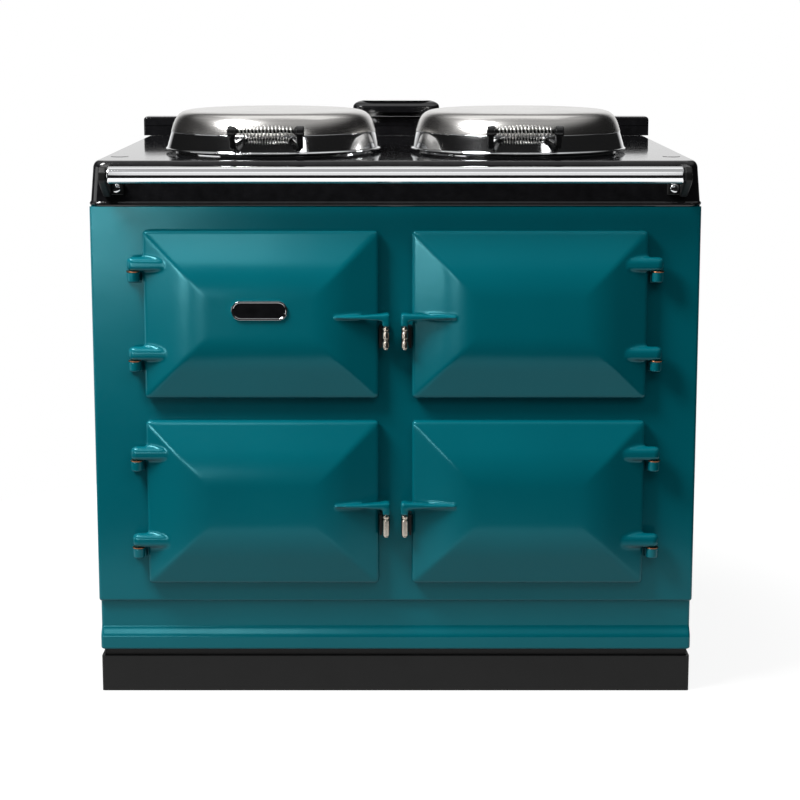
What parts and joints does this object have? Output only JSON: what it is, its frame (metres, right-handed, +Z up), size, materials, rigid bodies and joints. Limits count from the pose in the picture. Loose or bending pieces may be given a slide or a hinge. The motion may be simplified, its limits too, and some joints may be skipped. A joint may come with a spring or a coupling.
{
  "type": "cast iron range cooker",
  "caption": "Enamelled cast iron range cooker with hinged oven doors on a plinth, domed lids over round hotplates, a handrail and a rear upstand with a vent cap.",
  "frame": {"origin": "on the floor, under the middle of the cooker's bounding box", "axes": "+X to the right of someone facing the doors, +Y from the doors to the back, +Z up"},
  "size_m": [0.99, 0.76, 0.962],
  "materials": {
    "teal_enamel": "gloss",
    "black_enamel": "gloss",
    "satin_black": "satin",
    "polished_steel": "polished",
    "nickel": "satin",
    "cast_iron": "matte",
    "galvanised_steel": "satin",
    "mineral_wool": "matte",
    "aluminium": "satin",
    "black_plastic": "satin"
  },
  "bodies": {
    "cooker_body": {"plinth": "satin_black", "skirt": "teal_enamel", "front_plate": "teal_enamel", "side_panel_left": "teal_enamel", "side_panel_right": "teal_enamel", "back_panel": "galvanised_steel", "terminal_box": "black_plastic", "top_plate": "black_enamel", "insulation": "mineral_wool", "rear_upstand": "black_enamel", "vent_cap": "black_enamel", "handrail": "polished_steel", "handrail_bracket_left": "black_enamel", "handrail_bracket_right": "black_enamel", "roasting_oven": "cast_iron", "baking_oven": "cast_iron", "simmering_oven": "cast_iron", "control_box": "galvanised_steel", "control_catch_keeper": "satin_black", "control_hinge_upper": "teal_enamel", "control_hinge_lower": "teal_enamel", "roasting_catch_keeper": "satin_black", "roasting_hinge_upper": "teal_enamel", "roasting_hinge_lower": "teal_enamel", "baking_catch_keeper": "satin_black", "baking_hinge_upper": "teal_enamel", "baking_hinge_lower": "teal_enamel", "simmering_catch_keeper": "satin_black", "simmering_hinge_upper": "teal_enamel", "simmering_hinge_lower": "teal_enamel", "boiling_plate": "cast_iron", "boiling_lid_hinge_base": "black_enamel", "simmering_plate": "cast_iron", "simmering_lid_hinge_base": "black_enamel"},
    "control_door": {"control_door": "teal_enamel", "control_door_plug": "aluminium"},
    "control_catch_roller": {"control_catch_roller": "nickel"},
    "roasting_door": {"roasting_door": "teal_enamel", "roasting_door_plug": "aluminium"},
    "roasting_catch_roller": {"roasting_catch_roller": "nickel"},
    "baking_door": {"baking_door": "teal_enamel", "baking_door_plug": "aluminium"},
    "baking_catch_roller": {"baking_catch_roller": "nickel"},
    "simmering_door": {"simmering_door": "teal_enamel", "simmering_door_plug": "aluminium"},
    "simmering_catch_roller": {"simmering_catch_roller": "nickel"},
    "boiling_lid": {"boiling_lid_dome": "polished_steel", "boiling_lid_base": "aluminium", "boiling_lid_handle_frame": "black_plastic", "boiling_lid_handle_coil": "polished_steel", "boiling_lid_hinge_arm": "polished_steel"},
    "simmering_lid": {"simmering_lid_dome": "polished_steel", "simmering_lid_base": "aluminium", "simmering_lid_handle_frame": "black_plastic", "simmering_lid_handle_coil": "polished_steel", "simmering_lid_hinge_arm": "polished_steel"},
    "temperature_knob": {"temperature_knob": "black_plastic"},
    "timer_knob": {"timer_knob": "black_plastic"},
    "roasting_rack": {"roasting_rack": "polished_steel"},
    "baking_rack": {"baking_rack": "polished_steel"}
  },
  "joints": [
    {"name": "control_door_hinge", "type": "hinge", "parent": "cooker_body", "child": "control_door", "pos_m": [-0.422, -0.34, 0.64043], "axis": [0, 0, -1], "range_deg": [0, 110]},
    {"name": "roasting_door_hinge", "type": "hinge", "parent": "cooker_body", "child": "roasting_door", "pos_m": [0.422, -0.34, 0.64043], "axis": [0, 0, 1], "range_deg": [0, 110]},
    {"name": "baking_door_hinge", "type": "hinge", "parent": "cooker_body", "child": "baking_door", "pos_m": [-0.422, -0.34, 0.32898], "axis": [0, 0, -1], "range_deg": [0, 110]},
    {"name": "simmering_door_hinge", "type": "hinge", "parent": "cooker_body", "child": "simmering_door", "pos_m": [0.422, -0.34, 0.32898], "axis": [0, 0, 1], "range_deg": [0, 110]},
    {"name": "control_roller_spin", "type": "hinge", "parent": "control_door", "child": "control_catch_roller", "pos_m": [-0.0153, -0.35, 0.60542], "axis": [0, 0, 1], "continuous": true},
    {"name": "roasting_roller_spin", "type": "hinge", "parent": "roasting_door", "child": "roasting_catch_roller", "pos_m": [0.0153, -0.35, 0.60542], "axis": [0, 0, 1], "continuous": true},
    {"name": "baking_roller_spin", "type": "hinge", "parent": "baking_door", "child": "baking_catch_roller", "pos_m": [-0.0153, -0.35, 0.29397], "axis": [0, 0, 1], "continuous": true},
    {"name": "simmering_roller_spin", "type": "hinge", "parent": "simmering_door", "child": "simmering_catch_roller", "pos_m": [0.0153, -0.35, 0.29397], "axis": [0, 0, 1], "continuous": true},
    {"name": "boiling_lid_hinge", "type": "hinge", "parent": "cooker_body", "child": "boiling_lid", "pos_m": [-0.211, 0.14, 0.91], "axis": [-1, 0, 0], "range_deg": [0, 90]},
    {"name": "simmering_lid_hinge", "type": "hinge", "parent": "cooker_body", "child": "simmering_lid", "pos_m": [0.211, 0.14, 0.91], "axis": [-1, 0, 0], "range_deg": [0, 90]},
    {"name": "temperature_knob_turn", "type": "hinge", "parent": "cooker_body", "child": "temperature_knob", "pos_m": [-0.277, -0.2277, 0.64043], "axis": [0, 1, 0], "range_deg": [0, 270]},
    {"name": "timer_knob_turn", "type": "hinge", "parent": "cooker_body", "child": "timer_knob", "pos_m": [-0.157, -0.2277, 0.64043], "axis": [0, 1, 0], "range_deg": [0, 330]},
    {"name": "roasting_rack_slide", "type": "slide", "parent": "cooker_body", "child": "roasting_rack", "axis": [0, -1, 0], "range_m": [-0.01, 0.029]},
    {"name": "baking_rack_slide", "type": "slide", "parent": "cooker_body", "child": "baking_rack", "axis": [0, -1, 0], "range_m": [-0.01, 0.029]}
  ]
}
